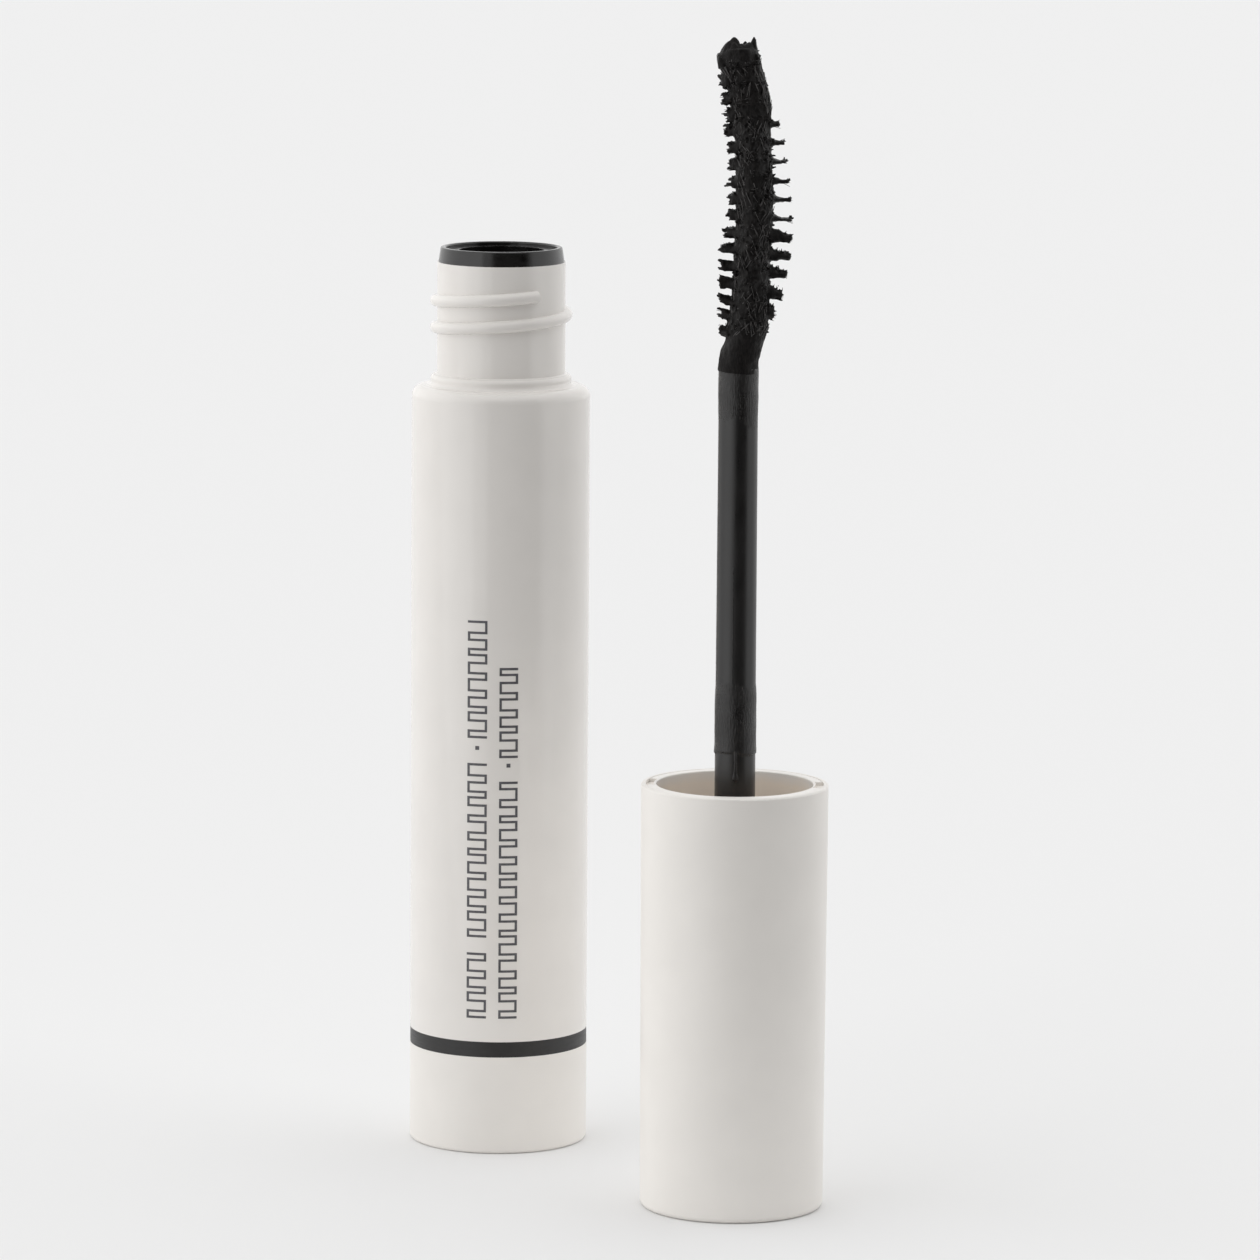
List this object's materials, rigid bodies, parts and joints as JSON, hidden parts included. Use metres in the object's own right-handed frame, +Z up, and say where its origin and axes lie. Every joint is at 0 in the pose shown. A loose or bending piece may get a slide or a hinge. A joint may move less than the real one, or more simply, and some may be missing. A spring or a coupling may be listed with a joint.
{
  "type": "mascara tube",
  "caption": "Opened mascara tube: a round bottle with a threaded neck and a wiper, beside its screw cap with liner, wand and bristle brush, standing upside down.",
  "frame": {"origin": "centre of the bottle's base, on the surface that the bottle and the cap stand on", "axes": "+Z up along the bottle, +X towards the side of the bottle where the cap stands, -Y towards the viewer"},
  "size_m": [0.0381, 0.0443, 0.1046],
  "materials": {
    "bottle_gloss": "gloss warm white",
    "cap_satin": "satin warm white",
    "liner": "natural white, satin",
    "ring_black": "satin black",
    "wiper_elastomer": "smooth black elastomer",
    "stem_black": "satin black, with dried product",
    "seal": "foamed white disc",
    "wire": "twisted steel wire",
    "bristle": "nylon filaments coated with mascara",
    "mascara": "wet black paste"
  },
  "bodies": {
    "bottle": {"bottle": "bottle_gloss", "base_cup": "cap_satin", "colour_ring": "ring_black", "wiper": "wiper_elastomer", "mascara_fill": "mascara"},
    "washer": {"seal_washer": "seal"},
    "applicator": {"cap_shell": "cap_satin", "cap_liner": "liner", "wand_stem": "stem_black", "brush_wire": "wire", "bristles": "bristle"}
  },
  "joints": [
    {"name": "applicator_lift", "type": "slide", "parent": "bottle", "child": "washer", "axis": [0, 0, 1], "range_m": [0, 0.085]},
    {"name": "cap_turn", "type": "hinge", "parent": "washer", "child": "applicator", "pos_m": [0.0215, -0.0277, 0.0247], "axis": [0, 0, 1], "continuous": true}
  ]
}
